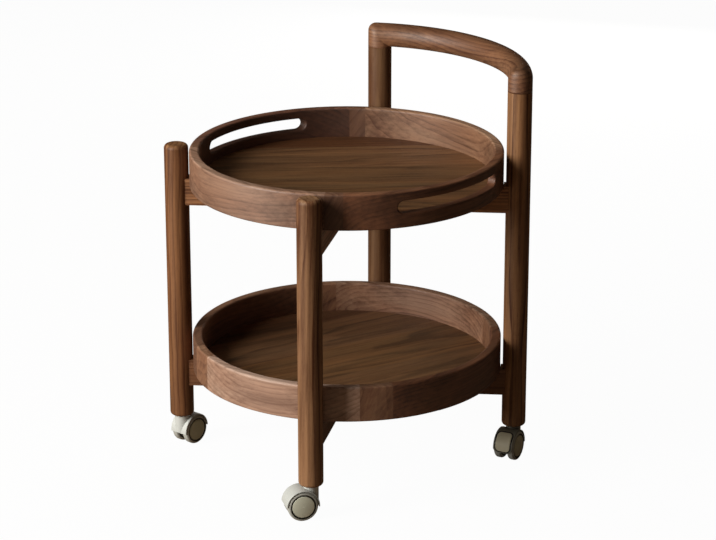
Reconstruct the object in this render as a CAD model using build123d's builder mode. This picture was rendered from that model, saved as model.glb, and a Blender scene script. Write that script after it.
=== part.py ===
from build123d import *
import math
import os

# Rolling side table in solid walnut: two round trays on crossed rails, four turned legs,
# a curved push handle over the two tall legs and four twin-wheel casters.
# Millimetres, +Z up, the handle towards +Y, the origin on the floor under the trays' centre.

# Trays
tray_diameter = 500.0
rim_height = 57.0
rim_wall = 16.0
rim_top_round = 3.5
rim_foot_round = 2.0
floor_thickness = 8.0
floor_tongue = 6.0
floor_shoulder = 2.0
board_width = 115.0
board_count = 5
upper_tray_seat = 460.0
lower_tray_seat = 150.0
upper_tray_turn = 7.0
lower_tray_turn = -3.0
upper_board_turn = -33.0
lower_board_turn = -6.0
upper_key_angles = (-48.0, 42.0, 132.0, 222.0)
upper_key_span = 6.5
lower_key_angles = (-102.0, -23.0, 67.0, 157.0)
lower_key_span = 12.0

# Finger slots of the upper tray
slot_length = 212.0
slot_height = 20.0
slot_drop = 24.5
slot_round = 2.5

# Legs
leg_diameter = 39.0
leg_gap = 3.7
leg_angle = 48.4
short_leg_rise = 1.0
leg_top_round = 7.0
leg_foot_round = 5.5
seam_chamfer = 0.5
mortise_web = 5.0

# Handle
handle_top = 655.0
dowel_diameter = 12.0
dowel_in_leg = 26.0
dowel_in_handle = 22.0
dowel_chamfer = 1.0

# Rails
rail_height = 44.0
rail_thickness = 26.0
rail_notch = 3.0
tenon_height = 28.0
tenon_thickness = 10.0

# Tray screws
screw_diameter = 4.5
screw_head_diameter = 9.0
screw_head_height = 3.0
screw_key_size = 3.0
screw_key_depth = 1.8
screw_in_rim = 15.0
screw_sink = 16.0

# Casters
wheel_diameter = 48.0
wheel_width = 11.8
wheel_round = 3.5
cap_diameter = 35.0
cap_seat = 1.6
cap_dome = 1.4
cap_round = 0.6
cap_groove = 2.6
fender_wall = 1.8
fender_gap = 1.0
fender_rear_angle = 3.0
fender_front_angle = 184.0
back_fender_rear_angle = -14.0
back_fender_corner = 9.0
fender_edge_inset = 0.4
fender_round = 1.5
web_thickness = 10.4
hub_diameter = 22.0
caster_trail = 16.5
boss_diameter = 24.0
boss_rise = 1.6
boss_round = 0.8
axle_diameter = 6.0
axle_end_gap = 0.8
stem_diameter = 8.0
stem_in_web = 22.0
stem_end_gap = 1.0
stem_chamfer = 0.6
socket_depth = 32.0
socket_wall = 1.5
socket_flange_diameter = 18.0
socket_flange = 1.0

# Headings of the trailing wheels, degrees from +X, one for each leg
front_left_heading = 103.0
front_right_heading = 249.0
back_right_heading = 296.0
back_left_heading = 205.0

# Clearances
glue_gap = 0.1
tray_rest_gap = 0.1
notch_gap = 0.5
press_gap = 0.02
running_gap = 0.06
stem_gap = 0.08
wheel_side_gap = 0.5
swivel_gap = 0.5

# Worked out from the sizes above
tray_radius = tray_diameter / 2
rim_inner_radius = tray_radius - rim_wall
rebate_height = floor_thickness - floor_shoulder
leg_radius = leg_diameter / 2
leg_circle = tray_radius + leg_gap + leg_radius
screw_circle = tray_radius - (rim_wall - floor_tongue) / 2
wheel_radius = wheel_diameter / 2
fender_inner_radius = wheel_radius + fender_gap
fender_outer_radius = fender_inner_radius + fender_wall
boss_top = wheel_radius + fender_outer_radius + boss_rise
leg_foot = boss_top + swivel_gap + socket_flange
short_leg_top = upper_tray_seat + rim_height + short_leg_rise
handle_axis_height = handle_top - leg_radius
tall_leg_top = handle_axis_height - leg_radius
wheel_inner_side = web_thickness / 2 + wheel_side_gap
wheel_outer_side = wheel_inner_side + wheel_width

# Legs by name: direction from the centre, heading of the caster, top of the leg
legs = {
    "front_left": (180 + leg_angle, front_left_heading, short_leg_top),
    "front_right": (-leg_angle, front_right_heading, short_leg_top),
    "back_right": (leg_angle, back_right_heading, tall_leg_top),
    "back_left": (180 - leg_angle, back_left_heading, tall_leg_top),
}
rail_seats = {"upper": upper_tray_seat - tray_rest_gap, "lower": lower_tray_seat}

os.makedirs("parts", exist_ok=True)


def save(part, name):
    """Label a finished piece and write it as its own file."""
    part.label = name
    export_step(part, f"parts/{name}.step")


def direction(angle):
    """Unit vector in the floor plane, at an angle in degrees from +X."""
    return Vector(math.cos(math.radians(angle)), math.sin(math.radians(angle)), 0)


def flat_plane(height, angle, distance=0.0):
    """Horizontal plane whose X points along angle, its origin out along that direction."""
    out = direction(angle) * distance
    return Plane(origin=(out.X, out.Y, height), x_dir=direction(angle), z_dir=(0, 0, 1))


def upright_plane(height, angle):
    """Vertical plane through the centre line, its X pointing outward along angle."""
    return Plane(origin=(0, 0, height), x_dir=direction(angle), z_dir=direction(angle - 90))


def leg_point(angle, height):
    """Point on a leg's axis."""
    out = direction(angle) * leg_circle
    return Vector(out.X, out.Y, height)


# Legs: turned rods with a rounded foot, two mortises and a bore for the caster socket
def make_leg(name):
    angle, heading, top = legs[name]
    is_tall = top > short_leg_top
    with BuildPart() as leg:
        with BuildSketch(flat_plane(leg_foot, angle, leg_circle)):
            Circle(leg_radius)
        extrude(amount=top - leg_foot)
        fillet(leg.edges().filter_by(GeomType.CIRCLE).sort_by(Axis.Z)[0], leg_foot_round)
        top_edge = leg.edges().filter_by(GeomType.CIRCLE).sort_by(Axis.Z)[-1]
        if is_tall:
            chamfer(top_edge, seam_chamfer)
        else:
            fillet(top_edge, leg_top_round)
        with BuildSketch(flat_plane(leg_foot, angle, leg_circle)):
            Circle(stem_diameter / 2 + stem_gap + socket_wall + glue_gap)
        extrude(amount=socket_depth + glue_gap, mode=Mode.SUBTRACT)
        if is_tall:
            with BuildSketch(flat_plane(top, angle, leg_circle)):
                Circle(dowel_diameter / 2 + glue_gap)
            extrude(amount=-(dowel_in_leg + glue_gap), mode=Mode.SUBTRACT)
        for seat in rail_seats.values():
            tenon_foot = seat + rail_notch - rail_height / 2 - tenon_height / 2
            mortise_start = leg_circle - leg_diameter
            mortise_end = leg_circle - mortise_web + glue_gap
            with BuildSketch(flat_plane(tenon_foot - glue_gap, angle)):
                with Locations(((mortise_start + mortise_end) / 2, 0)):
                    Rectangle(mortise_end - mortise_start, tenon_thickness + 2 * glue_gap)
            extrude(amount=tenon_height + 2 * glue_gap, mode=Mode.SUBTRACT)
    return leg.part


for name in legs:
    save(make_leg(name), f"{name}_leg")


# Handle: a bar bent along the circle of the legs, its ends turned down onto the tall legs
with BuildPart() as handle_bar:
    with BuildLine():
        CenterArc((0, 0, handle_axis_height), leg_circle, leg_angle, 180 - 2 * leg_angle)
    with BuildSketch(upright_plane(handle_axis_height, leg_angle)):
        with Locations((leg_circle, 0)):
            Circle(leg_radius)
    sweep()
    for angle in (leg_angle, 180 - leg_angle):
        with BuildSketch(flat_plane(tall_leg_top, angle, leg_circle)):
            Circle(leg_radius)
        extrude(amount=leg_radius)
        with Locations(leg_point(angle, handle_axis_height)):
            Sphere(leg_radius)
    for angle in (leg_angle, 180 - leg_angle):
        with BuildSketch(flat_plane(tall_leg_top, angle, leg_circle)):
            Circle(dowel_diameter / 2 + glue_gap)
        extrude(amount=dowel_in_handle + glue_gap, mode=Mode.SUBTRACT)
save(handle_bar.part, "handle_bar")


# Dowels that pin the handle's ends to the tall legs
with BuildPart() as handle_dowels:
    for angle in (leg_angle, 180 - leg_angle):
        with BuildSketch(flat_plane(tall_leg_top - dowel_in_leg, angle, leg_circle)):
            Circle(dowel_diameter / 2)
        extrude(amount=dowel_in_leg + dowel_in_handle)
    chamfer(handle_dowels.edges().filter_by(GeomType.CIRCLE), dowel_chamfer)
save(handle_dowels.part, "handle_dowels")


# Rails: crossed under each tray, halved where they cross, notched for the tray's rim,
# shouldered round the legs and tenoned into them
def make_rail(level, angle, lap_from_top):
    seat = rail_seats[level]
    rail_top = seat + rail_notch
    rail_foot = rail_top - rail_height
    lap_height = (seat + rail_foot) / 2
    with BuildPart() as rail:
        with BuildSketch(flat_plane(rail_foot, angle)):
            Rectangle(2 * leg_circle, rail_thickness)
        extrude(amount=rail_height)
        for end in (leg_point(angle, rail_foot), leg_point(angle + 180, rail_foot)):
            with BuildSketch(Plane(origin=end)):
                Circle(leg_radius + glue_gap)
            extrude(amount=rail_height, mode=Mode.SUBTRACT)
        with BuildSketch(flat_plane(rail_foot + (rail_height - tenon_height) / 2, angle)):
            Rectangle(2 * (leg_circle - mortise_web), tenon_thickness)
        extrude(amount=tenon_height)
        with BuildSketch(Plane.XY.offset(seat)):
            Circle(tray_radius + notch_gap)
        extrude(amount=rail_notch, mode=Mode.SUBTRACT)
        lap_foot = lap_height - glue_gap if lap_from_top else rail_foot
        lap_top = seat if lap_from_top else lap_height
        with BuildSketch(flat_plane(lap_foot, 180 - angle)):
            Rectangle(3 * rail_thickness, rail_thickness + 2 * glue_gap)
        extrude(amount=lap_top - lap_foot, mode=Mode.SUBTRACT)
        if level == "lower":
            for side in (angle, angle + 180):
                with BuildSketch(flat_plane(rail_foot, side, screw_circle)):
                    Circle(screw_diameter / 2 + glue_gap)
                extrude(amount=rail_height, mode=Mode.SUBTRACT)
                with BuildSketch(flat_plane(rail_foot, side, screw_circle)):
                    Circle(screw_head_diameter / 2 + notch_gap)
                extrude(amount=screw_sink, mode=Mode.SUBTRACT)
    return rail.part


for level in rail_seats:
    save(make_rail(level, leg_angle, True), f"{level}_long_rail")
    save(make_rail(level, 180 - leg_angle, False), f"{level}_cross_rail")


# Tray rims: long curved segments with short key blocks glued between them
def rim_arc(seat, start, span):
    """One curved length of rim, rebated inside its foot for the floor boards."""
    with BuildSketch(upright_plane(seat, start)) as profile:
        with BuildLine():
            Polyline(
                (rim_inner_radius + floor_tongue, 0),
                (tray_radius, 0),
                (tray_radius, rim_height),
                (rim_inner_radius, rim_height),
                (rim_inner_radius, rebate_height),
                (rim_inner_radius + floor_tongue, rebate_height),
                close=True,
            )
        make_face()
        fillet(profile.vertices().group_by(Axis.Y)[-1], rim_top_round)
        fillet(profile.vertices().group_by(Axis.Y)[0].sort_by(Axis.X)[-1], rim_foot_round)
    revolve(profile.sketch, axis=Axis.Z, revolution_arc=span)


def make_rim_segment(level, seat, turn, start, span):
    """Upper segments get the finger slots, lower ones the pilot holes for their screws."""
    with BuildPart() as segment:
        rim_arc(seat, turn + start, span)
        slot_centre = seat + rim_height - slot_drop
        for facing in (turn, turn + 180):
            offset = (facing - turn - start) % 360
            if level == "lower" or offset > span:
                continue
            slot_plane = Plane(
                origin=(0, 0, slot_centre), x_dir=direction(facing + 90), z_dir=direction(facing)
            )
            with BuildSketch(slot_plane):
                SlotOverall(slot_length, slot_height)
            extrude(amount=tray_diameter, mode=Mode.SUBTRACT)
            mouth = [
                edge
                for edge in segment.edges().filter_by(GeomType.LINE, reverse=True)
                if abs(edge.center().Z - slot_centre) < slot_height / 2 + slot_round
                and abs(edge.center().dot(direction(facing + 90))) < slot_length / 2 + slot_round
            ]
            fillet(mouth, slot_round)
        if level == "lower":
            for angle, heading, top in legs.values():
                with BuildSketch(flat_plane(seat, angle, screw_circle)):
                    Circle(screw_diameter / 2 + press_gap)
                extrude(amount=screw_in_rim + glue_gap, mode=Mode.SUBTRACT)
    return segment.part


def make_rim_keys(seat, turn, key_angles, key_span):
    with BuildPart() as keys:
        for angle in key_angles:
            rim_arc(seat, turn + angle - key_span / 2, key_span)
    return keys.part


def make_board(seat, board_turn, index):
    """One floor board, whose ends step down into a tongue under the rim."""
    middle = (index - (board_count - 1) / 2) * board_width
    layers = (
        (rim_inner_radius + floor_tongue - glue_gap, rebate_height),
        (rim_inner_radius - glue_gap, floor_thickness),
    )
    with BuildPart() as board:
        for radius, height in layers:
            with BuildSketch(flat_plane(seat, board_turn)):
                Circle(radius)
                with Locations((middle, 0)):
                    Rectangle(board_width, tray_diameter, mode=Mode.INTERSECT)
            extrude(amount=height)
    return board.part


def make_tray(level, seat, turn, board_turn, key_angles, key_span):
    """Write a tray's rim segments, its key blocks and its floor boards."""
    following = key_angles[1:] + (key_angles[0] + 360,)
    for number, (angle, next_angle) in enumerate(zip(key_angles, following), 1):
        start = angle + key_span / 2
        span = next_angle - angle - key_span
        segment = make_rim_segment(level, seat, turn, start, span)
        save(segment, f"{level}_rim_segment_{number}")
    save(make_rim_keys(seat, turn, key_angles, key_span), f"{level}_rim_keys")
    for index in range(board_count):
        save(make_board(seat, board_turn, index), f"{level}_floor_board_{index + 1}")


make_tray("upper", upper_tray_seat, upper_tray_turn, upper_board_turn, upper_key_angles, upper_key_span)
make_tray("lower", lower_tray_seat, lower_tray_turn, lower_board_turn, lower_key_angles, lower_key_span)


# Screws up through the lower rails into the lower rim
with BuildPart() as tray_screws:
    head_foot = lower_tray_seat + rail_notch - rail_height + screw_sink - screw_head_height
    for angle, heading, top in legs.values():
        with BuildSketch(flat_plane(head_foot, angle, screw_circle)):
            Circle(screw_head_diameter / 2)
        extrude(amount=screw_head_height)
        with BuildSketch(flat_plane(head_foot, angle, screw_circle)):
            Circle(screw_diameter / 2)
        extrude(amount=lower_tray_seat + screw_in_rim - head_foot)
    for angle, heading, top in legs.values():
        with BuildSketch(flat_plane(head_foot, angle, screw_circle)):
            RegularPolygon(screw_key_size / 2, 6, major_radius=False)
        extrude(amount=screw_key_depth, mode=Mode.SUBTRACT)
save(tray_screws.part, "tray_screws")


# Steel sleeves in the feet of the legs, which hold the caster stems
with BuildPart() as stem_sockets:
    for angle, heading, top in legs.values():
        with BuildSketch(flat_plane(leg_foot, angle, leg_circle)):
            Circle(stem_diameter / 2 + stem_gap + socket_wall)
        extrude(amount=socket_depth)
        with BuildSketch(flat_plane(leg_foot, angle, leg_circle)):
            Circle(socket_flange_diameter / 2)
        extrude(amount=-socket_flange)
    for angle, heading, top in legs.values():
        with BuildSketch(flat_plane(leg_foot - socket_flange, angle, leg_circle)):
            Circle(stem_diameter / 2 + stem_gap)
        extrude(amount=socket_depth + socket_flange, mode=Mode.SUBTRACT)
save(stem_sockets.part, "stem_sockets")


# Casters: each hood swivels on its stem under a leg, and two wheels spin on its axle
def caster_plane(angle, heading, height, trail=0.0):
    """Horizontal plane over a stem or an axle, its X along the heading."""
    centre = leg_point(angle, height) + direction(heading) * trail
    return Plane(origin=centre, x_dir=direction(heading), z_dir=(0, 0, 1))


def side_plane(angle, heading, shift):
    """Upright plane square to the axle, shifted along it, its X along the heading."""
    centre = leg_point(angle, wheel_radius) + direction(heading) * caster_trail
    across = direction(heading - 90)
    return Plane(origin=centre + across * shift, x_dir=direction(heading), z_dir=across)


def axle_axis(angle, heading):
    centre = leg_point(angle, wheel_radius) + direction(heading) * caster_trail
    return Axis(origin=centre, direction=direction(heading + 90))


def make_hood(angle, heading, is_back):
    """Web between the wheels, fender over both and boss round the stem, in one moulding.

    The back hoods reach lower behind their wheels, in a flap with round corners.
    """
    half_width = wheel_outer_side - fender_edge_inset
    rear_angle = back_fender_rear_angle if is_back else fender_rear_angle
    with BuildPart() as hood:
        with BuildSketch(side_plane(angle, heading, -half_width)):
            with BuildLine():
                arc = CenterArc(
                    (0, 0),
                    fender_outer_radius,
                    rear_angle,
                    fender_front_angle - rear_angle,
                )
                Polyline(arc @ 1, (0, 0), arc @ 0)
            make_face()
        extrude(amount=2 * half_width)
        rims = [
            edge
            for edge in hood.edges().filter_by(GeomType.CIRCLE)
            if abs(edge.radius - fender_outer_radius) < press_gap
        ]
        fillet(rims, fender_round)
        if is_back:
            flap_foot = wheel_radius + fender_outer_radius * math.sin(math.radians(rear_angle))
            across = caster_plane(angle, heading, flap_foot, caster_trail)
            flap_plane = Plane(origin=across.origin, x_dir=across.y_dir, z_dir=across.x_dir)
            inset = half_width - back_fender_corner
            for side in (-1, 1):
                with BuildSketch(flap_plane):
                    with Locations((side * (inset + half_width) / 2, back_fender_corner / 2)):
                        Rectangle(back_fender_corner, back_fender_corner)
                    with Locations((side * inset, back_fender_corner)):
                        Circle(back_fender_corner, mode=Mode.SUBTRACT)
                extrude(amount=wheel_diameter, mode=Mode.SUBTRACT)
        with BuildSketch(caster_plane(angle, heading, wheel_radius)):
            Circle(boss_diameter / 2)
        extrude(amount=boss_top - wheel_radius)
        fillet(hood.edges().filter_by(GeomType.CIRCLE).sort_by(Axis.Z)[-1], boss_round)
        for side in (-1, 1):
            with BuildSketch(side_plane(angle, heading, side * web_thickness / 2)):
                Circle(fender_inner_radius)
            extrude(amount=side * wheel_diameter, mode=Mode.SUBTRACT)
        with BuildSketch(side_plane(angle, heading, -web_thickness / 2)):
            Circle(hub_diameter / 2)
        extrude(amount=web_thickness)
        with BuildSketch(side_plane(angle, heading, -web_thickness / 2)):
            Circle(axle_diameter / 2 + press_gap)
        extrude(amount=web_thickness, mode=Mode.SUBTRACT)
        with BuildSketch(caster_plane(angle, heading, boss_top)):
            Circle(stem_diameter / 2 + press_gap)
        extrude(amount=-stem_in_web, mode=Mode.SUBTRACT)
    return hood.part


def make_stem(angle, heading):
    with BuildPart() as stem:
        with BuildSketch(caster_plane(angle, heading, boss_top - stem_in_web)):
            Circle(stem_diameter / 2)
        extrude(amount=stem_in_web + swivel_gap + socket_flange + socket_depth - stem_end_gap)
        chamfer(stem.edges().filter_by(GeomType.CIRCLE), stem_chamfer)
    return stem.part


def make_axle(angle, heading):
    half_length = wheel_outer_side - cap_seat - axle_end_gap
    with BuildPart() as axle:
        with BuildSketch(side_plane(angle, heading, -half_length)):
            Circle(axle_diameter / 2)
        extrude(amount=2 * half_length)
    return axle.part


def make_wheel(angle, heading, side):
    bore_radius = axle_diameter / 2 + running_gap
    recess_radius = cap_diameter / 2 + cap_groove
    recess_foot = side * (wheel_outer_side - cap_seat)
    with BuildPart() as wheel:
        with BuildSketch(caster_plane(angle, heading, wheel_radius, caster_trail)) as profile:
            with BuildLine():
                Polyline(
                    (bore_radius, side * wheel_inner_side),
                    (wheel_radius, side * wheel_inner_side),
                    (wheel_radius, side * wheel_outer_side),
                    (recess_radius, side * wheel_outer_side),
                    (recess_radius, recess_foot),
                    (bore_radius, recess_foot),
                    close=True,
                )
            make_face()
            fillet(profile.vertices().group_by(Axis.X)[-1], wheel_round)
        revolve(axis=axle_axis(angle, heading))
    return wheel.part


def make_cap(angle, heading, side):
    cap_foot = side * (wheel_outer_side - cap_seat)
    cap_rim = side * wheel_outer_side
    with BuildPart() as cap:
        with BuildSketch(caster_plane(angle, heading, wheel_radius, caster_trail)) as profile:
            with BuildLine():
                Polyline((0, cap_rim + side * cap_dome), (0, cap_foot), (cap_diameter / 2, cap_foot),
                         (cap_diameter / 2, cap_rim))
                TangentArc((0, cap_rim + side * cap_dome), (cap_diameter / 2, cap_rim), tangent=(1, 0))
            make_face()
            edge_points = profile.vertices().group_by(Axis.X)[-1].sort_by(Axis.Y)
            fillet(edge_points[-1 if side > 0 else 0], cap_round)
        revolve(axis=axle_axis(angle, heading))
    return cap.part


for name, (angle, heading, top) in legs.items():
    save(make_hood(angle, heading, top > short_leg_top), f"{name}_caster_hood")
    save(make_stem(angle, heading), f"{name}_caster_stem")
    save(make_axle(angle, heading), f"{name}_caster_axle")
    for hand, side in (("left", -1), ("right", 1)):
        save(make_wheel(angle, heading, side), f"{name}_caster_{hand}_wheel")
        save(make_cap(angle, heading, side), f"{name}_caster_{hand}_cap")
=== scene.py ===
import math

import bmesh
import bpy
from mathutils import Matrix, Vector


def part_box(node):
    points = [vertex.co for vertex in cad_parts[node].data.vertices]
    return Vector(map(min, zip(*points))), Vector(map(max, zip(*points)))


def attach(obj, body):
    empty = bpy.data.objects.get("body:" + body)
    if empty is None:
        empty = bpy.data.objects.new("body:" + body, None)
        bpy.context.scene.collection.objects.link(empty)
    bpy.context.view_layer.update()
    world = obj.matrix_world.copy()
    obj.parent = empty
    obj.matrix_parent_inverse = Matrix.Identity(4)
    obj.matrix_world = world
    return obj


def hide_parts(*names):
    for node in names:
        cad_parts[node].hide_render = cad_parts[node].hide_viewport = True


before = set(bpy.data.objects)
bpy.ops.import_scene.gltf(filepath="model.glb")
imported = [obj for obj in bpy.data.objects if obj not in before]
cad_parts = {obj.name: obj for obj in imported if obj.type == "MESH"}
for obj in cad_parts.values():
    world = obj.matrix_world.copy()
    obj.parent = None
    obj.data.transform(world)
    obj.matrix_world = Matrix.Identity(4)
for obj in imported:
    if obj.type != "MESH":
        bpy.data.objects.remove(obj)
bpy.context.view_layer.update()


# The view
# The camera stands high on the table's right front and looks down on it from four metres,
# far enough that the legs stay nearly upright in the picture.
view_azimuth = math.radians(53.18)
view_elevation = math.radians(19.07)
view_roll = math.radians(-0.024)
view_distance = 4.2368
view_lens = 132.13
aim_height = 0.3119
aim_right = 0.0181

to_right = Vector((math.cos(view_azimuth), math.sin(view_azimuth), 0))
to_camera = Vector((
    math.sin(view_azimuth) * math.cos(view_elevation),
    -math.cos(view_azimuth) * math.cos(view_elevation),
    math.sin(view_elevation),
))
aim = to_right * aim_right + Vector((0, 0, aim_height))


def put(name, data):
    """Add an object to the scene."""
    thing = bpy.data.objects.new(name, data)
    bpy.context.scene.collection.objects.link(thing)
    return thing


camera = put("camera", bpy.data.cameras.new("camera"))
camera.data.lens = view_lens
camera.data.sensor_width = 36.0
camera.data.clip_end = 200.0
turn = Matrix((to_right, to_camera.cross(to_right), to_camera)).transposed()
camera.matrix_world = (
    Matrix.Translation(aim + to_camera * view_distance)
    @ turn.to_4x4()
    @ Matrix.Rotation(view_roll, 4, "Z")
)
bpy.context.scene.camera = camera


# The legs
# Four turned rods of oiled walnut, sawn lengthways from the plank, so that their grain runs
# straight up. The growth rings are cylinders round the tree's heart, which lies outside each rod.
def wire(tree, kind, inputs=(), **settings):
    """Add a shader node, set its options, and set or link its inputs."""
    node = tree.nodes.new(kind)
    for name, value in settings.items():
        setattr(node, name, value)
    for name, value in dict(inputs).items():
        if isinstance(value, bpy.types.NodeSocket):
            tree.links.new(value, node.inputs[name])
        else:
            node.inputs[name].default_value = value
    return node


def sums(tree, operation, *values):
    """One step of arithmetic on numbers or sockets."""
    return wire(tree, "ShaderNodeMath", enumerate(values), operation=operation).outputs[0]


def steps(tree, operation, *values):
    """One step of arithmetic on vectors."""
    return wire(tree, "ShaderNodeVectorMath", enumerate(values), operation=operation).outputs[0]


def tint(tree, blend, amount, base, over):
    """Lay one colour over another."""
    node = wire(tree, "ShaderNodeMix", {0: amount, 6: base, 7: over}, data_type="RGBA",
                blend_type=blend, clamp_factor=True)
    return node.outputs[2]


def cloud(tree, place, stretch, detail=2.0, roughness=0.5):
    """Noise from 0 to 1 whose cells are drawn out along the grain."""
    scaled = steps(tree, "MULTIPLY", place, stretch)
    return wire(tree, "ShaderNodeTexNoise",
                {"Vector": scaled, "Scale": 1.0, "Detail": detail, "Roughness": roughness})


def centred(tree, value, amount):
    """A 0 to 1 value spread evenly about nothing."""
    return sums(tree, "MULTIPLY", sums(tree, "SUBTRACT", value, 0.5), amount)


def new_group(name, inputs, outputs):
    """A shader group with named sockets, and its two ends."""
    group = bpy.data.node_groups.new(name, "ShaderNodeTree")
    for socket, kind in inputs:
        group.interface.new_socket(name=socket, in_out="INPUT", socket_type=f"NodeSocket{kind}")
    for socket, kind in outputs:
        group.interface.new_socket(name=socket, in_out="OUTPUT", socket_type=f"NodeSocket{kind}")
    return group, group.nodes.new("NodeGroupInput").outputs, group.nodes.new("NodeGroupOutput")


# The wood's pattern, whose cells are measured first along the grain and then twice across it
grain, given, made = new_group(
    "walnut_grain",
    [("Place", "Vector"), ("Growth", "Float"), ("Wander", "Float"), ("Lines", "Float"),
     ("Figure", "Float"), ("Seed", "Float"), ("Pale", "Color"), ("Dark", "Color")],
    [("Color", "Color"), ("Roughness", "Float"), ("Height", "Float")],
)
seed = wire(grain, "ShaderNodeCombineXYZ",
            {0: sums(grain, "MULTIPLY", given["Seed"], 1.7),
             1: sums(grain, "MULTIPLY", given["Seed"], 0.9),
             2: sums(grain, "MULTIPLY", given["Seed"], 1.3)}).outputs[0]
place = steps(grain, "ADD", given["Place"], seed)
slow = steps(grain, "SUBTRACT", cloud(grain, place, (2.4, 11, 11)).outputs["Color"], (0.5, 0.5, 0.5))
quick = steps(grain, "SUBTRACT", cloud(grain, place, (9, 42, 42)).outputs["Color"], (0.5, 0.5, 0.5))
bent = steps(grain, "ADD", slow, steps(grain, "MULTIPLY", quick, (0.16, 0.16, 0.16)))
bend = wire(grain, "ShaderNodeVectorMath", {0: bent, "Scale": given["Wander"]}, operation="SCALE")
across = steps(grain, "MULTIPLY", steps(grain, "ADD", given["Place"], bend.outputs[0]), (0, 1, 1))
from_heart = wire(grain, "ShaderNodeVectorMath", {0: across}, operation="LENGTH").outputs["Value"]
years = sums(grain, "DIVIDE", from_heart, given["Growth"])
year = sums(grain, "FLOOR", years)
season = sums(grain, "FRACT", years)
luck = wire(grain, "ShaderNodeTexWhiteNoise", {"W": sums(grain, "ADD", year, given["Seed"])},
            noise_dimensions="1D").outputs["Value"]
ease = wire(grain, "ShaderNodeMapRange", {0: season, 1: 0.86, 2: 1.0, 3: 1.0, 4: 0.0},
            interpolation_type="SMOOTHSTEP").outputs[0]
latewood = sums(grain, "MULTIPLY", sums(grain, "POWER", season, 2.6), ease)
line = sums(grain, "MULTIPLY", latewood, sums(grain, "MULTIPLY_ADD", luck, 0.9, 0.35))
band = cloud(grain, place, (3.2, 26, 26), 2.0).outputs["Fac"]
streak = cloud(grain, place, (4.5, 170, 170), 3.0, 0.6).outputs["Fac"]
fibre = cloud(grain, place, (22, 900, 900), 2.0, 0.6).outputs["Fac"]
pore = wire(grain, "ShaderNodeMapRange", {0: cloud(grain, place, (95, 2300, 2300), 1.0).outputs["Fac"],
                                          1: 0.58, 2: 0.72, 3: 0.0, 4: 1.0}).outputs[0]
tone = sums(grain, "ADD", sums(grain, "MULTIPLY", line, given["Lines"]),
            sums(grain, "MULTIPLY", sums(grain, "SUBTRACT", band, 0.5), given["Figure"]))
tone = sums(grain, "ADD", tone, centred(grain, streak, 1.3))
tone = sums(grain, "ADD", tone, centred(grain, fibre, 0.5))
tone = sums(grain, "ADD", sums(grain, "ADD", tone, 0.38), sums(grain, "MULTIPLY", pore, 0.22))
wood = tint(grain, "MIX", tone, given["Pale"], given["Dark"])
warm = cloud(grain, place, (2.0, 34, 34), 1.0).outputs["Fac"]
flush = tint(grain, "MULTIPLY", sums(grain, "MULTIPLY", warm, 0.8), wood, (1.15, 0.86, 0.7, 1))
grain.links.new(flush, made.inputs["Color"])
satin = sums(grain, "ADD", sums(grain, "ADD", 0.5, centred(grain, streak, 0.14)),
             sums(grain, "MULTIPLY", pore, 0.12))
grain.links.new(satin, made.inputs["Roughness"])
relief = sums(grain, "SUBTRACT", sums(grain, "MULTIPLY", line, 0.25), sums(grain, "MULTIPLY", pore, 0.8))
relief = sums(grain, "ADD", relief, centred(grain, fibre, 0.5))
grain.links.new(relief, made.inputs["Height"])


def walnut(name, heart, along, side, growth=0.0052, wander=0.02, lines=0.8, figure=1.1,
           pale=(0.3, 0.15, 0.075), dark=(0.07, 0.024, 0.009), seed=1.0, shine=0.35):
    """Oiled walnut sawn round the tree's heart line, which passes through a point along the grain."""
    material = bpy.data.materials.new(name)
    material.use_nodes = True
    tree = material.node_tree
    along = Vector(along).normalized()
    third = along.cross(Vector(side)).normalized()
    axes = Matrix((along, third.cross(along), third)).transposed()
    at = wire(tree, "ShaderNodeTexCoord").outputs["Object"]
    sawn = wire(tree, "ShaderNodeMapping",
                {"Vector": at, "Location": heart, "Rotation": axes.to_euler()}, vector_type="TEXTURE")
    board = tree.nodes.new("ShaderNodeGroup")
    board.node_tree = grain
    tree.links.new(sawn.outputs[0], board.inputs["Place"])
    for socket, value in (("Growth", growth), ("Wander", wander), ("Lines", lines), ("Figure", figure),
                          ("Seed", seed), ("Pale", (*pale, 1)), ("Dark", (*dark, 1))):
        board.inputs[socket].default_value = value
    surface = tree.nodes["Principled BSDF"]
    surface.inputs["Specular IOR Level"].default_value = shine
    bump = wire(tree, "ShaderNodeBump", {"Height": board.outputs["Height"], "Strength": 0.35,
                                         "Distance": 0.0004})
    tree.links.new(board.outputs["Color"], surface.inputs["Base Color"])
    tree.links.new(board.outputs["Roughness"], surface.inputs["Roughness"])
    tree.links.new(bump.outputs[0], surface.inputs["Normal"])
    return material


# Painted light: the grey cast given to the lit tops of pieces
top_light_grey = (1.03, 1.2, 1.36)


def paint_top_light(material, top, reach, gain):
    """Paint light on the top of a piece: lighten and grey it as far down as its reach, a painted
    highlight where light falls on top faces.
    """
    tree = material.node_tree
    surface = tree.nodes["Principled BSDF"]
    at = wire(tree, "ShaderNodeTexCoord").outputs["Object"]
    level = wire(tree, "ShaderNodeSeparateXYZ", {0: at}).outputs["Z"]
    scuff_and_top_light = wire(tree, "ShaderNodeMapRange", {0: level, 1: top - reach, 2: top, 3: 0.0, 4: 1.0},
                interpolation_type="SMOOTHSTEP").outputs[0]
    plain = surface.inputs["Base Color"].links[0].from_socket
    pale = steps(tree, "MULTIPLY", plain, [gain * part for part in top_light_grey])
    tree.links.new(tint(tree, "MIX", scuff_and_top_light, plain, pale), surface.inputs["Base Color"])
    return material


def dress(node, material):
    """Give a piece its finish."""
    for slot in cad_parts[node].material_slots:
        slot.material = material


def middle(node):
    """The middle of a piece's box."""
    low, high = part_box(node)
    return (low + high) / 2


# Painted light: how far down and how strongly the front legs' tops are lightened
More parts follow.
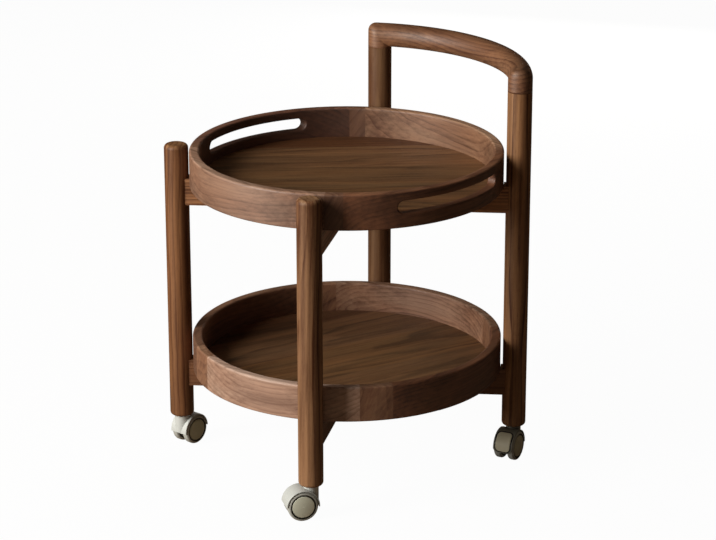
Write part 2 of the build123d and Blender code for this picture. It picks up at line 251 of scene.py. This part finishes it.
leg_top_light_reach = 0.007
leg_top_light_gain = 1.7
leg_hearts = {
    "front_left": (-0.05, -0.055),
    "front_right": (0.03, 0.07),
    "back_right": (0.06, -0.04),
    "back_left": (-0.04, 0.06),
}
# Each leg's tone is partly its own wood and partly painted light and shade, set leg by leg.
leg_tones = {
    "front_left": (0.305, 0.155, 0.067),
    "front_right": (0.39, 0.23, 0.12),
    "back_right": (0.46, 0.255, 0.122),
    "back_left": (0.24, 0.138, 0.068),
}
for number, (leg, offset) in enumerate(leg_hearts.items()):
    heart = middle(f"{leg}_leg") + Vector((*offset, 0))
    low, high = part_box(f"{leg}_leg")
    rod = walnut(f"{leg}_walnut", heart, (0.012, 0.008, 1), (1, 0, 0), growth=0.0085, wander=0.03,
                 lines=0.7, figure=1.6, pale=leg_tones[leg], dark=(0.085, 0.03, 0.01),
                 seed=3.1 + 4.7 * number)
    # The short front legs get painted light on their domed tops.
    if "front" in leg:
        paint_top_light(rod, high.z, leg_top_light_reach, leg_top_light_gain)
    dress(f"{leg}_leg", rod)


# The push handle
# One bar sawn to a bow, whose ends turn down through rounded mitres onto the tall legs.
# The mesh follows the bow ring by ring, and fans the rings out round the inside of each corner.
bow = middle("back_right_leg")
bow_radius = Vector((bow.x, bow.y)).length
bow_angle = math.atan2(bow.y, bow.x)
handle_low, handle_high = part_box("handle_bar")
bar_radius = (handle_high.z - handle_low.z) / 2
bar_height = handle_high.z - bar_radius
corner_round = 0.0125
ring_points = 64
corner_rings = 24
bow_rings = 72


def corner_reach(angle):
    """Distance from the inside of the corner to its rounded outline, at an angle."""
    lean = min(angle, math.pi / 2 - angle)
    round_from = math.atan2(2 * bar_radius - corner_round, 2 * bar_radius)
    if lean < round_from:
        return 2 * bar_radius / math.cos(lean)
    centre = Vector((1, 1)) * (2 * bar_radius - corner_round)
    towards = Vector((math.cos(angle), math.sin(angle))).dot(centre)
    return towards + math.sqrt(towards ** 2 - centre.length_squared + corner_round ** 2)


def corner_ring(angle):
    """Points along the bar, across it and up, for a slice that leans at an angle."""
    centre = bar_radius / max(math.cos(angle), math.sin(angle))
    points = []
    for index in range(ring_points):
        around = 2 * math.pi * index / ring_points
        reach = corner_reach(angle) - centre if math.cos(around) > 0 else centre
        out = centre + reach * math.cos(around)
        points.append((
            out * math.cos(angle) - bar_radius,
            bar_radius * math.sin(around),
            out * math.sin(angle) - bar_radius,
        ))
    return points


def on_bow(run, across, up, bending):
    """A point on the bar: run past the leg's axis, across the bar and up from its centre line."""
    bent_at = bow_angle - run / bow_radius
    bent = Vector((math.cos(bent_at), math.sin(bent_at), 0)) * (bow_radius + across)
    out = Vector((math.cos(bow_angle), math.sin(bow_angle), 0))
    straight = out * (bow_radius + across) + Vector((out.y, -out.x, 0)) * run
    return straight.lerp(bent, bending) + Vector((0, 0, bar_height + up))


rings = []
for index in range(corner_rings + 1):
    share = index / corner_rings
    rings.append([on_bow(run, across, up, share) for run, across, up in
                  corner_ring(share * math.pi / 2)])
bow_sweep = math.pi - 2 * bow_angle
first = bar_radius / bow_radius
for index in range(1, bow_rings // 2 + 1):
    run = -bow_radius * (first + (bow_sweep / 2 - first) * index / (bow_rings // 2))
    rings.append([on_bow(run, bar_radius * math.sin(2 * math.pi * k / ring_points),
                         bar_radius * math.cos(2 * math.pi * k / ring_points), 1)
                  for k in range(ring_points)])
rings += [[Vector((-point.x, point.y, point.z)) for point in ring] for ring in reversed(rings[:-1])]
handle_mesh = bmesh.new()
rows = [[handle_mesh.verts.new(point) for point in ring] for ring in rings]
for row, next_row in zip(rows, rows[1:]):
    for k in range(ring_points):
        handle_mesh.faces.new((row[k], row[k - 1], next_row[k - 1], next_row[k]))
for row in (rows[0], rows[-1]):
    handle_mesh.faces.new(row)
bmesh.ops.remove_doubles(handle_mesh, verts=handle_mesh.verts, dist=1e-6)
bmesh.ops.recalc_face_normals(handle_mesh, faces=handle_mesh.faces)
handle_data = bpy.data.meshes.new("push_handle")
handle_mesh.to_mesh(handle_data)
handle_mesh.free()
handle_data.shade_smooth()
push_handle = put("push_handle", handle_data)
handle_data.materials.append(
    walnut("handle_walnut", (0, 0.20, bar_height - 0.075), (1, 0.05, 0.015), (0, 1, 0), growth=0.006,
           wander=0.02, pale=(0.34, 0.18, 0.095), dark=(0.11, 0.045, 0.02), seed=23.0, shine=0.7))
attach(push_handle, "frame")
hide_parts("handle_bar")
dress("handle_dowels", walnut("dowel_wood", (0, 0, 0), (0, 0, 1), (1, 0, 0),
                              pale=(0.62, 0.45, 0.28), dark=(0.45, 0.3, 0.17), seed=8.0))


# The rails
# Four straight bars of walnut, halved where they cross under each tray and tenoned into the legs.
leg_turn = {"long_rail": bow_angle, "cross_rail": math.pi - bow_angle}
rail_tones = {"upper": (0.5, 0.262, 0.125), "lower": (0.23, 0.118, 0.06)}
rail_heart_heights = {"upper": 0.38, "lower": 0.07}
rail_heart_aside = 0.03
for number, (level, height) in enumerate(rail_heart_heights.items()):
    for rail, angle in leg_turn.items():
        out = Vector((math.cos(angle), math.sin(angle), 0))
        aside = Vector((-out.y, out.x, 0))
        heart = aside * rail_heart_aside + Vector((0, 0, height))
        dress(f"{level}_{rail}", walnut(f"{level}_{rail}_walnut", heart, out + Vector((0, 0, 0.01)),
                                        aside, growth=0.005, wander=0.014, pale=rail_tones[level],
                                        dark=(0.1, 0.04, 0.017),
                                        seed=31.0 + 5.3 * number + 2.9 * angle))


# The tray rims
# Each rim is glued up from four long curved segments, sawn from thick straight planks, with a
# short block between each two. The grain runs along each segment's chord and out at its ends.
# Each segment's heart by its place outwards and upwards, then its pale and dark wood and its seed
# The segments' tones are partly each segment's own wood and partly painted light and shade: the pale,
# greyish front segments (upper 4 and lower 1) carry painted sheen, and the very dark upper segment 3
# carries painted shade on its inner wall.
rim_looks = {
    "upper_rim_segment_1": ((0.05, -0.09), (0.22, 0.095, 0.045), (0.07, 0.024, 0.01), 41.0),
    "upper_rim_segment_2": ((0.07, 0.06), (0.36, 0.21, 0.125), (0.11, 0.045, 0.02), 47.0),
    "upper_rim_segment_3": ((0.06, -0.08), (0.105, 0.048, 0.029), (0.03, 0.011, 0.006), 53.0),
    "upper_rim_segment_4": ((0.055, 0.07), (0.3, 0.178, 0.117), (0.11, 0.053, 0.03), 59.0),
    "lower_rim_segment_1": ((0.06, 0.06), (0.5, 0.345, 0.26), (0.21, 0.12, 0.08), 61.0),
    "lower_rim_segment_2": ((0.05, -0.1), (0.2, 0.085, 0.04), (0.06, 0.02, 0.009), 67.0),
    "lower_rim_segment_3": ((0.05, -0.06), (0.4, 0.24, 0.155), (0.13, 0.058, 0.03), 71.0),
    "lower_rim_segment_4": ((0.05, 0.09), (0.2, 0.1, 0.055), (0.07, 0.03, 0.016), 79.0),
}
# Painted light: the tops of the rims and keys are lightened and greyed, standing in for the light and
# sheen on them.
rim_top_light_reach = 0.0025
rim_top_light_gain = {"upper": 1.8, "lower": 1.35}
# Upper segment 3 gets a stronger painted light on its top, laid over its painted shade.
shade_painted_segment = "upper_rim_segment_3"
shade_painted_segment_top_light = 3.4
for segment, ((out_by, up_by), pale, dark, number) in rim_looks.items():
    centre = middle(segment)
    out = Vector((centre.x, centre.y, 0)).normalized()
    chord = Vector((-out.y, out.x, 0))
    heart = centre + out * out_by + Vector((0, 0, up_by))
    curve = walnut(f"{segment}_walnut", heart, chord + Vector((0, 0, 0.03)), out, growth=0.0068,
                   wander=0.042, lines=0.6, figure=1.5, pale=pale, dark=dark, seed=number, shine=0.8)
    low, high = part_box(segment)
    gain = shade_painted_segment_top_light if segment == shade_painted_segment else rim_top_light_gain[segment.split("_")[0]]
    dress(segment, paint_top_light(curve, high.z, rim_top_light_reach, gain))

key_tones = {"upper": (0.2, 0.105, 0.06), "lower": (0.3, 0.165, 0.095)}
for level, pale in key_tones.items():
    block = walnut(f"{level}_key_walnut", (0.02, 0.03, 0), (0.5, 0.35, 1), (1, 0, 0), growth=0.008,
                   wander=0.03, lines=0.6, pale=pale, dark=(0.08, 0.03, 0.014), seed=83.0, shine=0.8)
    low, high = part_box(f"{level}_rim_keys")
    # The keys' tops get the same painted light as the rims' tops.
    dress(f"{level}_rim_keys", paint_top_light(block, high.z, rim_top_light_reach, rim_top_light_gain[level]))


# The tray floors
# Five walnut boards glued edge to edge into each floor, sawn flat so that their rings show as
# long arches on the face.
floor_turns = {"upper": math.radians(-33), "lower": math.radians(-6)}
board_heart_aside = 0.02
board_heart_below = 0.06
board_dark_share = 0.38
# The boards' tones are partly their own wood and partly painted light and shade, set board by board.
board_tones = {
    "upper": ((0.2, 0.09, 0.038), (0.36, 0.2, 0.095), (0.3, 0.17, 0.078), (0.28, 0.155, 0.068),
              (0.25, 0.115, 0.046)),
    "lower": ((0.17, 0.085, 0.042), (0.24, 0.135, 0.068), (0.25, 0.14, 0.062), (0.23, 0.13, 0.062),
              (0.21, 0.115, 0.055)),
}
for level, angle in floor_turns.items():
    across_board = Vector((math.cos(angle), math.sin(angle), 0))
    along_board = Vector((-across_board.y, across_board.x, 0))
    for number, pale in enumerate(board_tones[level], 1):
        board_name = f"{level}_floor_board_{number}"
        heart = middle(board_name) + across_board * (board_heart_aside * (-1) ** number)
        heart.z -= board_heart_below
        dark = [board_dark_share * part for part in pale]
        dress(board_name, walnut(f"{board_name}_walnut", heart, along_board + Vector((0, 0, 0.05)),
                                 across_board, growth=0.013, wander=0.06, lines=0.7, figure=1.5,
                                 pale=pale, dark=dark, seed=91.0 + 6.1 * number + 40 * angle))


# The hidden fittings
# Zinc plated steel: the screws that hold the lower tray, the sleeves in the legs' feet, and the
# casters' stems and axles.
def plated_steel():
    """Steel with the faint bloom of a zinc plating."""
    material = bpy.data.materials.new("zinc_plate")
    material.use_nodes = True
    tree = material.node_tree
    at = wire(tree, "ShaderNodeTexCoord").outputs["Object"]
    bloom = cloud(tree, at, (420, 420, 420), 3.0).outputs["Fac"]
    surface = tree.nodes["Principled BSDF"]
    surface.inputs["Metallic"].default_value = 1.0
    shade = tint(tree, "MIX", bloom, (0.5, 0.5, 0.48, 1), (0.68, 0.68, 0.66, 1))
    tree.links.new(shade, surface.inputs["Base Color"])
    tree.links.new(sums(tree, "MULTIPLY_ADD", bloom, 0.25, 0.2), surface.inputs["Roughness"])
    return material


steel = plated_steel()
for node in ("tray_screws", "stem_sockets"):
    dress(node, steel)
for leg in ("front_left", "front_right", "back_right", "back_left"):
    dress(f"{leg}_caster_stem", steel)
    dress(f"{leg}_caster_axle", steel)


# The casters
# Moulded plastic: a hood over two wheels and a cap pressed into each wheel with a groove round it. The
# back hoods are darker as painted shade, and the caps' tones differ by caster as painted light and
# shade. The well inside each hood and the groove round each cap are painted dark as shade.
def moulded_plastic(name, colour, roughness, scuff):
    """Plastic with a fine moulded texture, a little darker where it is scuffed."""
    material = bpy.data.materials.new(name)
    material.use_nodes = True
    tree = material.node_tree
    at = wire(tree, "ShaderNodeTexCoord").outputs["Object"]
    mottle = cloud(tree, at, (60, 60, 60), 3.0).outputs["Fac"]
    spark = cloud(tree, at, (2200, 2200, 2200), 2.0).outputs["Fac"]
    surface = tree.nodes["Principled BSDF"]
    scuff_and_top_light = tuple(scuff * part for part in colour)
    shade = tint(tree, "MIX", mottle, (*colour, 1), (*scuff_and_top_light, 1))
    tree.links.new(shade, surface.inputs["Base Color"])
    tree.links.new(sums(tree, "ADD", roughness, centred(tree, mottle, 0.15)),
                   surface.inputs["Roughness"])
    bump = wire(tree, "ShaderNodeBump", {"Height": spark, "Strength": 0.15, "Distance": 0.0001})
    tree.links.new(bump.outputs[0], surface.inputs["Normal"])
    return material


def shade_ringed_plastic(name, colour, shadow, middle_of_wheel, axle_along, ring_radius, ring_reach):
    """Plastic with a ring of painted shade round the wheels' axle; where the ring's radius is 0 the
    painted shade fills the middle instead.
    """
    material = moulded_plastic(name, colour, 0.36, 0.9)
    tree = material.node_tree
    surface = tree.nodes["Principled BSDF"]
    at = wire(tree, "ShaderNodeTexCoord").outputs["Object"]
    away = steps(tree, "CROSS_PRODUCT", steps(tree, "SUBTRACT", at, middle_of_wheel), axle_along)
    radius = wire(tree, "ShaderNodeVectorMath", {0: away}, operation="LENGTH").outputs["Value"]
    ring = sums(tree, "COMPARE", radius, ring_radius, ring_reach)
    plain = surface.inputs["Base Color"].links[0].from_socket
    shade = tint(tree, "MIX", ring, plain, (*shadow, 1))
    tree.links.new(shade, surface.inputs["Base Color"])
    return material


# Painted shade: the groove round each cap and the well inside each hood are darkened in the plastic's
# colour, out to these radii.
groove_radius = 0.0187
groove_reach = 0.0016
well_radius = 0.0247
trail = 0.0165
axle_height = 0.024
headings = {"front_left": 103, "front_right": 249, "back_right": 296, "back_left": 205}
# Painted shade: the back hoods are given darker plastic than the front ones, though all four are one
# plastic.
hood_tones = {
    "front_left": (0.68, 0.71, 0.69),
    "front_right": (0.68, 0.71, 0.69),
    "back_right": (0.3, 0.3, 0.25),
    "back_left": (0.3, 0.3, 0.25),
}
# The caps' tones differ by caster as painted light and shade, palest on the front right.
cap_tones = {
    "front_left": (0.64, 0.65, 0.48),
    "front_right": (0.93, 0.95, 0.78),
    "back_right": (0.7, 0.68, 0.49),
    "back_left": (0.7, 0.68, 0.49),
}


def axle_of(leg):
    """The middle of a caster's axle, the way its wheels trail and the way the axle runs."""
    facing = math.radians(headings[leg])
    stem = middle(f"{leg}_caster_stem")
    along = Vector((math.cos(facing), math.sin(facing), 0))
    aside = Vector((-along.y, along.x, 0))
    return Vector((stem.x, stem.y, axle_height)) + along * trail, along, aside


for leg in headings:
    axle, along, aside = axle_of(leg)
    hood_plastic = shade_ringed_plastic(f"{leg}_hood_plastic", hood_tones[leg], (0.03, 0.03, 0.025),
                                  axle, aside, 0.0, well_radius)
    dress(f"{leg}_caster_hood", hood_plastic)
    wheel_plastic = shade_ringed_plastic(f"{leg}_wheel_plastic", (0.56, 0.57, 0.53), (0.05, 0.05, 0.042),
                                   axle, aside, groove_radius, groove_reach)
    cap_plastic = moulded_plastic(f"{leg}_cap_plastic", cap_tones[leg], 0.42, 0.88)
    for hand in ("left", "right"):
        dress(f"{leg}_caster_{hand}_wheel", wheel_plastic)
        dress(f"{leg}_caster_{hand}_cap", cap_plastic)


# The brake pads
# Each back caster carries a curved plate of pale plastic on its hood, laid on a slightly larger dark
# sheet that is painted shade round its edge. The plate follows the hood from above the wheels down to
# its flap.
hood_radius = 0.0268
pad_low = -7.0
pad_high = 64.0
pad_half_width = 0.0128
pad_corner = 0.007
pad_rise = 0.0011
pad_sunk = 0.0004
pad_edge = 0.0012
edge_fall = 0.8
end_fullness = 0.15
# Painted shade: the dark sheet reaches this far past the plate's edge and stands this far out from the
# hood.
shade_sheet_border = 0.0022
shade_sheet_rise = 0.0003
pad_rows = 40
pad_columns = 24


def curved_plate(name, leg, grow, rise, material):
    """A plate with round corners, bent round the wheels' axle and standing out from the hood."""
    axle, along, aside = axle_of(leg)
    half_length = math.radians(pad_high - pad_low) / 2 * hood_radius + grow
    half_width = pad_half_width + grow
    corner = pad_corner + grow
    mid_turn = math.radians(pad_high + pad_low) / 2
    plate = bmesh.new()
    layers = []
    for layer, out in enumerate((hood_radius - pad_sunk, hood_radius + rise)):
        rows = []
        for i in range(pad_rows + 1):
            length = half_length * math.sin(math.pi / 2 * (2 * i / pad_rows - 1))
            into = max(0.0, abs(length) - (half_length - corner))
            width = half_width - corner + math.sqrt(max(0.0, corner ** 2 - into ** 2))
            row = []
            for j in range(pad_columns + 1):
                share = 2 * j / pad_columns - 1
                edge = min(1.0, (1 - abs(share)) * half_width / pad_edge,
                           (half_length - abs(length)) / pad_edge + end_fullness)
                lift = out - layer * rise * edge_fall * (1 - math.sqrt(max(0.0, edge)))
                turn_at = mid_turn + length / hood_radius
                row.append(plate.verts.new(axle + along * (lift * math.cos(turn_at))
                                           + Vector((0, 0, lift * math.sin(turn_at)))
                                           + aside * (width * share)))
            rows.append(row)
        layers.append(rows)
    inner, outer = layers
    for rows in layers:
        for i in range(pad_rows):
            for j in range(pad_columns):
                plate.faces.new((rows[i][j], rows[i][j + 1], rows[i + 1][j + 1], rows[i + 1][j]))
    for i in range(pad_rows):
        for j in (0, pad_columns):
            plate.faces.new((inner[i][j], inner[i + 1][j], outer[i + 1][j], outer[i][j]))
    for j in range(pad_columns):
        for i in (0, pad_rows):
            plate.faces.new((inner[i][j], inner[i][j + 1], outer[i][j + 1], outer[i][j]))
    bmesh.ops.recalc_face_normals(plate, faces=plate.faces)
    data = bpy.data.meshes.new(name)
    plate.to_mesh(data)
    plate.free()
    data.shade_smooth()
    data.materials.append(material)
    thing = put(name, data)
    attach(thing, f"{leg}_caster")
    return thing


# The dark sheet under each pad is painted shade.
painted_shade_sheet = moulded_plastic("painted_shade_sheet", (0.035, 0.034, 0.03), 0.55, 0.8)
pad_plastic = moulded_plastic("pad_plastic", (0.95, 0.9, 0.68), 0.42, 0.9)
for leg in ("back_right", "back_left"):
    shade_sheet = curved_plate(f"{leg}_pad_painted_shade", leg, shade_sheet_border, shade_sheet_rise, painted_shade_sheet)
    pad = curved_plate(f"{leg}_pad", leg, 0.0, pad_rise, pad_plastic)


# The studio
# A white floor that runs out of sight, a broad lamp low in front of the table, a weaker one behind
# it and a faint sky. The floor and the sky look white to the camera.
floor_size = 60.0
floor_white = 0.97
lamp_azimuth = math.radians(263)
lamp_elevation = math.radians(21)
lamp_distance = 3.0
lamp_width = 1.3
lamp_height = 2.3
lamp_power = 112.0
lamp_colour = (1.0, 0.965, 0.9)
back_azimuth = math.radians(128)
back_elevation = math.radians(7)
back_width = 1.6
back_height = 1.0
back_power = 42.0
sky_strength = 0.045
sky_colour = (1.0, 0.8, 0.62, 1)
bounce_colour = (0.26, 0.195, 0.14, 1)

bpy.ops.mesh.primitive_plane_add(size=floor_size, location=(0, 0, 0))
floor = bpy.context.object
floor.name = "studio_floor"
paper = bpy.data.materials.new("white_paper")
paper.use_nodes = True
tree = paper.node_tree
tree.nodes.clear()
seen = wire(tree, "ShaderNodeLightPath").outputs["Is Camera Ray"]
cast = tint(tree, "MIX", seen, bounce_colour, (0.8, 0.8, 0.8, 1))
matt = wire(tree, "ShaderNodeBsdfDiffuse", {"Color": cast})
glow = wire(tree, "ShaderNodeEmission", {"Color": (1, 1, 1, 1), "Strength": 1.0})
share = sums(tree, "MULTIPLY", seen, floor_white)
both = wire(tree, "ShaderNodeMixShader", {0: share, 1: matt.outputs[0], 2: glow.outputs[0]})
sheet = wire(tree, "ShaderNodeOutputMaterial", {"Surface": both.outputs[0]})
floor.data.materials.append(paper)


def soft_lamp(name, azimuth, elevation, width, height, power, colour):
    """A broad lamp that looks at the middle of the table from one side."""
    lamp = put(name, bpy.data.lights.new(name, "AREA"))
    lamp.data.shape = "RECTANGLE"
    lamp.data.size = width
    lamp.data.size_y = height
    lamp.data.energy = power
    lamp.data.color = colour
    lamp.visible_camera = False
    out = Vector((
        math.cos(azimuth) * math.cos(elevation),
        math.sin(azimuth) * math.cos(elevation),
        math.sin(elevation),
    ))
    lamp.location = Vector((0, 0, aim_height)) + out * lamp_distance
    lamp.rotation_euler = out.to_track_quat("Z", "Y").to_euler()
    return lamp


soft_lamp("lamp", lamp_azimuth, lamp_elevation, lamp_width, lamp_height, lamp_power, lamp_colour)
back_lamp = soft_lamp("back_lamp", back_azimuth, back_elevation, back_width, back_height, back_power,
                      lamp_colour)
back_lamp.visible_glossy = False

world = bpy.data.worlds.new("studio")
bpy.context.scene.world = world
world.use_nodes = True
tree = world.node_tree
tree.nodes.clear()
seen = wire(tree, "ShaderNodeLightPath").outputs["Is Camera Ray"]
strength = sums(tree, "MULTIPLY_ADD", seen, 1 - sky_strength, sky_strength)
hue = tint(tree, "MIX", seen, sky_colour, (1, 1, 1, 1))
sky = wire(tree, "ShaderNodeBackground", {"Color": hue, "Strength": strength})
wire(tree, "ShaderNodeOutputWorld", {"Surface": sky.outputs[0]})
bpy.context.scene.view_settings.view_transform = "Standard"
